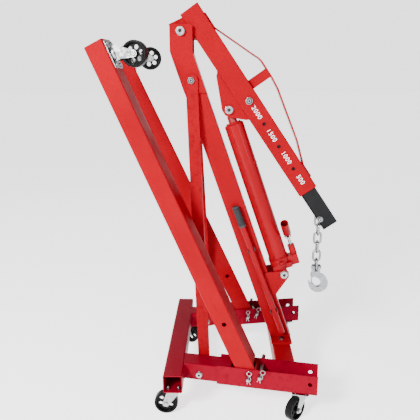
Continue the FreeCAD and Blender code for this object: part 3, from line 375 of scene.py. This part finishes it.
def chains(segments):
    """Join point pairs that share ends into open or closed runs."""
    near = {}

    def key(point):
        return tuple(round(value / (0.1 * MM)) for value in point)

    for start, end in segments:
        near.setdefault(key(start), []).append((start, end))
        near.setdefault(key(end), []).append((end, start))
    used, runs = set(), []

    def follow(point):
        run = []
        while True:
            options = [end for start, end in near[key(point)] if frozenset((key(start), key(end))) not in used]
            if not options:
                return run
            used.add(frozenset((key(point), key(options[0]))))
            point = options[0]
            run.append(point)

    for places in list(near.values()):
        for start, _ in places:
            forward = follow(start)
            if forward:
                backward = follow(start)
                runs.append(list(reversed(backward)) + [start] + forward)
    return runs


def resampled(points, step):
    result, carry = [points[0]], 0.0
    for start, end in zip(points, points[1:]):
        length = (end - start).length
        along = step - carry
        while along < length:
            result.append(start.lerp(end, along / length))
            along += step
        carry = length - (along - step)
    if (result[-1] - points[-1]).length > step * 0.3:
        result.append(points[-1])
    return result


def seam(node, onto, radius=2.0 * MM, keep=lambda point: True):
    """Weld bead along every sharp edge of a node that lies on another node's surface."""
    work = surface(node)
    other = surface(onto)
    tree = BVHTree.FromBMesh(other)
    segments = []
    for edge in work.edges:
        if len(edge.link_faces) == 2 and edge.calc_face_angle() < math.radians(25):
            continue
        start, end = (Vector(vertex.co) for vertex in edge.verts)
        pieces = max(1, int((end - start).length / (6 * MM)))
        for i in range(pieces):
            a, b = start.lerp(end, i / pieces), start.lerp(end, (i + 1) / pieces)
            middle = (a + b) / 2
            hit = tree.find_nearest(middle)
            if hit[0] is not None and hit[3] < 0.35 * MM and keep(middle):
                segments.append((a, b))
    work.free()
    other.free()
    vertices, faces = [], []
    for run in chains(segments):
        total = sum((b - a).length for a, b in zip(run, run[1:]))
        if total < 8 * MM:
            continue
        points = resampled(run, 1.3 * MM)
        if len(points) < 4:
            continue

        def swell(i):
            ripple = 0.12 * math.sin(i * 1.9) + 0.22 * noise.noise(points[i] * 160)
            taper = min(1.0, 0.45 + 0.18 * min(i, len(points) - 1 - i))
            return radius * (1 + ripple) * taper

        first = len(vertices)
        more_vertices, more_faces = tube_along(points, False, swell)
        vertices += more_vertices
        faces += [tuple(first + index for index in face) for face in more_faces]
    if vertices:
        body = BODY_OF[node]
        slot = SLOT_OF[node]
        new_piece("weld_%s_%s" % (node, onto), body, MATERIALS[slot], vertices, faces)


def make_welds():
    for side in ("left", "right"):
        seam("stub_" + side, "rear_crossbeam")
        seam("sleeve_" + side, "stub_" + side, 1.8 * MM)
        seam("front_crossmember", "sleeve_" + side)
    seam("mast_foot_plate", "front_crossmember", 1.6 * MM)
    seam("mast_tube", "mast_foot_plate", 2.4 * MM)
    seam("mast_ears", "mast_tube", 1.8 * MM)
    seam("ram_bracket", "mast_tube", 2.0 * MM)
    seam("boom_lugs", "boom_tube", 1.8 * MM)
    seam("boom_gussets", "boom_tube", 1.6 * MM)
    seam("boom_post", "boom_tube", 1.6 * MM)
    seam("boom_post", "boom_strap", 1.4 * MM)
    seam("boom_strap", "boom_tube", 1.5 * MM)
    seam("ram_base", "ram_cylinder", 1.5 * MM)


def make_ram_weld():
    """Rippled bead round the ram's tube where it enters the collar of its base."""
    along = joint_axis("ram_stroke")
    pivot = joint_point("ram_tilt")
    heights = [(v.co - pivot).dot(along) for v in frame["nodes"]["ram_cylinder"].data.vertices]
    centre = pivot + along * (min(heights) + 0.5 * MM)
    across = Vector((0, 1, 0))
    side = along.cross(across)
    count = 150
    points = [centre + (across * math.cos(2 * math.pi * i / count) + side * math.sin(2 * math.pi * i / count))
              * 34.0 * MM for i in range(count)]
    vertices, faces = tube_along(points, True, lambda i: 2.2 * MM * (1 + 0.14 * math.sin(i * 1.9)))
    new_piece("weld_ram_ring", "ram", MATERIALS["red_paint_ram"], vertices, faces)


# ------------------------------------------------------------------------------------------ small hardware
def islands(node):
    """Lists of points, one for each separate solid of a node."""
    work = bmesh.new()
    work.from_mesh(frame["nodes"][node].data)
    bmesh.ops.remove_doubles(work, verts=work.verts, dist=0.02 * MM)
    left = set(work.verts)
    groups = []
    while left:
        stack, group = [left.pop()], []
        while stack:
            vertex = stack.pop()
            group.append(vertex.co.copy())
            for edge in vertex.link_edges:
                other = edge.other_vert(vertex)
                if other in left:
                    left.remove(other)
                    stack.append(other)
        groups.append(group)
    work.free()
    return groups


def fasteners(node, axis, chosen=lambda middle: True):
    """For each bolt or nut along axis: point on its seat, way from the seat to its outer face, radius, height."""
    found = []
    solids = []
    for group in islands(node):
        middle = sum(group, Vector()) / len(group)
        if not chosen(middle):
            continue
        along = [point.dot(axis) for point in group]
        radial = [(point - middle - axis * (point - middle).dot(axis)).length for point in group]
        reach = max(radial)
        wide = [a for a, r in zip(along, radial) if r > 0.8 * reach]
        solids.append((middle, min(along), max(along), reach, min(wide), max(wide)))
    for middle, low, high, reach, wide_low, wide_high in solids:
        partner = [(a, b) for m, a, b, r, c, d in solids
                   if ((m - middle) - axis * (m - middle).dot(axis)).length < 2 * MM and b - a > high - low + 10 * MM]
        centre = sum(partner[0]) / 2 if partner else (low + high) / 2
        sign = 1 if (wide_low + wide_high) / 2 > centre else -1
        seat = wide_low if sign > 0 else wide_high
        place = middle + axis * (seat - middle.dot(axis))
        found.append((place, axis * sign, reach, wide_high - wide_low, bool(partner)))
    return found


def make_washers():
    """Flat washers under heads and nuts, and the round plastic lip of each lock nut."""
    side_axis = Vector((0, 1, 0))
    groups = [("pivot_bolts", side_axis, "frame", None), ("boom_bolts", side_axis, "boom", None),
              ("chain_bolt", side_axis, "extension", None),
              ("frame_bolts", side_axis, "frame", lambda middle: middle.z > 0.9),
              ("frame_bolts", joint_axis("leg_right_fold"), "frame",
               lambda middle: middle.y < 0 and 0.124 < middle.z < 0.140),
              ("frame_bolts", joint_axis("leg_left_fold"), "frame",
               lambda middle: middle.y > 0 and 0.124 < middle.z < 0.140)]
    number = 0
    for node, axis, body, chosen in groups:
        for place, out, reach, height, is_nut in fasteners(node, axis, chosen or (lambda middle: True)):
            number += 1
            rim = reach * 1.0
            # The washers take the darker galvanised finish: partly their real finish, partly painted shade for the
            # dark gap round each head and nut.
            turned("washer_%02d" % number, body, MATERIALS["galvanised"],
                   [(0.0, reach * 0.55), (0.0, rim - 0.3 * MM), (0.3 * MM, rim), (1.5 * MM, rim),
                    (1.8 * MM, rim - 0.3 * MM), (1.8 * MM, reach * 0.55)], place, out, 36, True)
            if is_nut:
                turned("nut_lip_%02d" % number, body, MATERIALS["black_clip"],
                       [(height - 0.8 * MM, reach * 0.52), (height - 0.8 * MM, reach * 0.84),
                        (height + 1.0 * MM, reach * 0.82), (height + 1.9 * MM, reach * 0.74),
                        (height + 1.9 * MM, reach * 0.52)], place, out, 36, True)
            # Thin black disc on each bolt end and each head face: painted shade for the dark centre of every nut and
            # bolt head.
            face = height + (4.0 * MM if is_nut else 0.0)
            shade_radius = reach * (0.30 if is_nut else 0.42)
            turned("bolt_painted_shade_%02d" % number, body, MATERIALS["black_clip"],
                   [(face - 1.0 * MM, shade_radius), (face + 0.15 * MM, shade_radius), (face + 0.35 * MM, shade_radius * 0.8)],
                   place, out, 24)


def make_lug_corners():
    """Rear corner of each boom lug, in millimetres along the boom and square to it."""
    outline = [(10.5, 4.0), (22.0, 4.0), (24.0, -24.0), (34.0, -40.0), (30.0, -46.5), (3.0, -48.5), (1.5, -45.0)]
    for name, inner, outer in (("near", -28.7, -22.3), ("far", 22.3, 28.7)):
        vertices = [BOOM_ORIGIN + BOOM_ALONG * (s * MM) + BOOM_UP * (t * MM) + Vector((0, y * MM, 0))
                    for y in (inner, outer) for s, t in outline]
        count = len(outline)
        faces = [tuple(range(count)), tuple(reversed(range(count, 2 * count)))]
        faces += [(k, k + count, (k + 1) % count + count, (k + 1) % count) for k in range(count)]
        new_piece("lug_corner_" + name, "boom", MATERIALS["red_paint"], vertices, faces)


def make_grip():
    """Moulded handle grip with ribs, a flange and a round end."""
    low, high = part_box("pump_handle_grip")
    middle = (low + high) / 2
    handle_low, handle_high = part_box("pump_handle")
    down = ((handle_low + handle_high) / 2 - middle).normalized()
    spans = [(v.co - middle).dot(down) for v in frame["nodes"]["pump_handle_grip"].data.vertices]
    start, end = min(spans), max(spans)
    radius = 12.4 * MM
    profile = [(start, 4.0 * MM), (start + 0.6 * MM, 8.5 * MM), (start + 2.2 * MM, 11.4 * MM),
               (start + 4.5 * MM, radius)]
    ribs = 11
    first, last = start + 9 * MM, end - 9 * MM
    for i in range(ribs):
        at = first + (last - first) * i / (ribs - 1)
        profile += [(at - 2.2 * MM, radius), (at - 1.4 * MM, radius - 1.1 * MM), (at + 1.4 * MM, radius - 1.1 * MM),
                    (at + 2.2 * MM, radius)]
    profile += [(end - 3.0 * MM, radius), (end - 0.4 * MM, radius - 0.3 * MM), (end, radius - 1.3 * MM)]
    grip = turned("grip", "handle", MATERIALS["grip"], profile, middle, down, 40)
    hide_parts("pump_handle_grip")
    turned("grip_collar", "handle", MATERIALS["black_clip"],
           [(end, 10.6 * MM), (end, 12.3 * MM), (end + 3.2 * MM, 12.3 * MM), (end + 4.2 * MM, 11.6 * MM),
            (end + 4.2 * MM, 10.6 * MM)], middle, down, 40, True)


def make_link_seams():
    """Upset butt weld in the middle of one straight side of each link."""
    for i in range(1, 7):
        low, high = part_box("chain_link_%d" % i)
        middle = (low + high) / 2
        across = Vector((1, 0, 0)) if high.x - low.x > high.y - low.y else Vector((0, 1, 0))
        wire = 4.0 * MM
        half_width = max(high.x - low.x, high.y - low.y) / 2
        centre = middle + across * (half_width - wire) * (1 if i % 4 < 2 else -1)
        swell = [(-3.2, 3.6), (-2.6, 4.15), (-1.6, 4.2), (-0.9, 4.55), (0.0, 4.65), (0.9, 4.55), (1.6, 4.2),
                 (2.6, 4.15), (3.2, 3.6)]
        turned("link_weld_%d" % i, "link_%d" % i, MATERIALS["galvanised"],
               [(z * MM, r * MM) for z, r in swell], centre, Vector((0, 0, 1)), 20)


# ------------------------------------------------------------------------------------------ printed load scale
def make_load_scale():
    """Plain numerals beside the boom's holes, on both sides: the load in kilograms for each hole."""
    along = joint_axis("extension_slide")
    left = Vector((0, 1, 0))
    low, high = BOOM_BOX
    half = (high.y - low.y) / 2
    for index, load in enumerate(("2000", "1500", "1000", "500")):
        centre = BOOM_ORIGIN + along * (SCALE_START + HOLE_STEP * (index + 0.5)) + BOOM_UP * (BOOM_DEPTH / 2)
        for side, sign in (("near", -1), ("far", 1)):
            curve = bpy.data.curves.new("scale", "FONT")
            curve.body = load
            curve.size = 22 * MM
            curve.space_character = 1.15
            curve.align_x = "CENTER"
            curve.align_y = "CENTER"
            curve.extrude = 0.08 * MM
            curve.offset = -0.25 * MM
            text = bpy.data.objects.new("scale", curve)
            spin = Matrix((along * -sign, BOOM_UP, left * sign)).transposed().to_4x4()
            text.matrix_world = Matrix.Translation(centre + left * sign * (half + 0.1 * MM)) @ spin
            mesh = bpy.data.meshes.new_from_object(text)
            mesh.transform(text.matrix_world)
            bpy.data.objects.remove(text)
            piece = bpy.data.objects.new("scale_%s_%s" % (load, side), mesh)
            bpy.context.scene.collection.objects.link(piece)
            piece.data.materials.clear()
            piece.data.materials.append(PRINT)
            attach(piece, "boom")


# Boom frame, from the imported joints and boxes: the lower rear corner of the boom tube and its depth.
BOOM_ALONG = joint_axis("extension_slide")
BOOM_UP = Vector((-BOOM_ALONG.z, 0, BOOM_ALONG.x))
BOOM_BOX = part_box("boom_tube")
BOOM_DEPTH = BOOM_BOX[1].y - BOOM_BOX[0].y
BOOM_REACH = max(p.dot(BOOM_ALONG) for p in (v.co for v in frame["nodes"]["boom_tube"].data.vertices))
BOOM_REAR = min(p.dot(BOOM_ALONG) for p in (v.co for v in frame["nodes"]["boom_tube"].data.vertices))
BOOM_LOW = min(p.dot(BOOM_UP) for p in (v.co for v in frame["nodes"]["boom_tube"].data.vertices))
BOOM_ORIGIN = BOOM_ALONG * BOOM_REAR + BOOM_UP * BOOM_LOW
HOLE_STEP = 92 * MM
SCALE_START = 351 * MM


# ------------------------------------------------------------------------------------------ camera, light, floor
def make_studio():
    floor_z = CAD_BOX[0][2]
    size = 60.0
    mesh = bpy.data.meshes.new("floor")
    mesh.from_pydata([(-size, -size, floor_z), (size, -size, floor_z), (size, size, floor_z), (-size, size, floor_z)],
                     [], [(0, 1, 2, 3)])
    floor = bpy.data.objects.new("floor", mesh)
    bpy.context.scene.collection.objects.link(floor)
    graph = Graph("pale_floor", (0.90, 0.90, 0.91), roughness=0.6)
    graph.link(graph.span(graph.noise(3.0, 3.0), 0.55, 0.66), "Roughness")
    graph.set("Emission Color", (1.0, 1.0, 1.0, 1.0))
    graph.set("Emission Strength", 1.9)
    mesh.materials.append(graph.material)
    world = bpy.data.worlds.new("studio")
    world.use_nodes = True
    tree = world.node_tree
    split = tree.nodes.new("ShaderNodeSeparateXYZ")
    tree.links.new(tree.nodes.new("ShaderNodeTexCoord").outputs["Generated"], split.inputs[0])
    ramp = tree.nodes.new("ShaderNodeMapRange")
    for socket, number in (("From Min", 0.16), ("From Max", 0.42), ("To Min", 2.3), ("To Max", 0.24)):
        ramp.inputs[socket].default_value = number
    tree.links.new(split.outputs["Z"], ramp.inputs["Value"])
    tree.nodes["Background"].inputs["Color"].default_value = (1.0, 1.0, 1.0, 1.0)
    tree.links.new(ramp.outputs["Result"], tree.nodes["Background"].inputs["Strength"])
    bpy.context.scene.world = world
    centre = Vector((0.05, 0.0, 0.65))
    for name, place, width, power in (("key", (-1.7, -2.7, 2.3), 0.7, 310.0), ("fill", (2.2, -2.6, 1.4), 0.9, 14.0),
                                      ("strip", (0.8, -2.8, 2.2), 0.35, 20.0), ("back", (-1.2, 2.8, 2.2), 1.4, 14.0)):
        light = bpy.data.lights.new(name, "AREA")
        light.shape = "RECTANGLE"
        light.size = width
        light.size_y = width if name != "strip" else 1.6
        light.energy = power
        lamp = bpy.data.objects.new(name, light)
        lamp.location = place
        lamp.rotation_euler = (centre - Vector(place)).to_track_quat("-Z", "Y").to_euler()
        bpy.context.scene.collection.objects.link(lamp)


def make_camera():
    """Camera on the crane's right, a little above it, looking slightly down."""
    pitch, yaw, roll = math.radians(14.363), math.radians(1.695), math.radians(-0.125)
    forward = Vector((-math.sin(yaw) * math.cos(pitch), math.cos(yaw) * math.cos(pitch), -math.sin(pitch)))
    right = Vector((math.cos(yaw), math.sin(yaw), 0))
    up = right.cross(forward)
    right, up = right * math.cos(roll) + up * math.sin(roll), up * math.cos(roll) - right * math.sin(roll)
    camera = bpy.data.cameras.new("camera")
    camera.sensor_width = 36.0
    camera.lens = 42.81
    holder = bpy.data.objects.new("camera", camera)
    rear = CAD_BEAM_REAR
    turn = Matrix((right, up, -forward)).transposed().to_4x4()
    holder.matrix_world = Matrix.Translation(Vector((rear + 0.1984, -1.7378, 1.0968))) @ turn
    bpy.context.scene.collection.objects.link(holder)
    bpy.context.scene.camera = holder


CAD_BEAM_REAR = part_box("rear_crossbeam")[0].x

finish_cad_nodes()
make_welds()
make_ram_weld()
make_lug_corners()
make_washers()
make_grip()
make_link_seams()
make_load_scale()
make_studio()
make_camera()
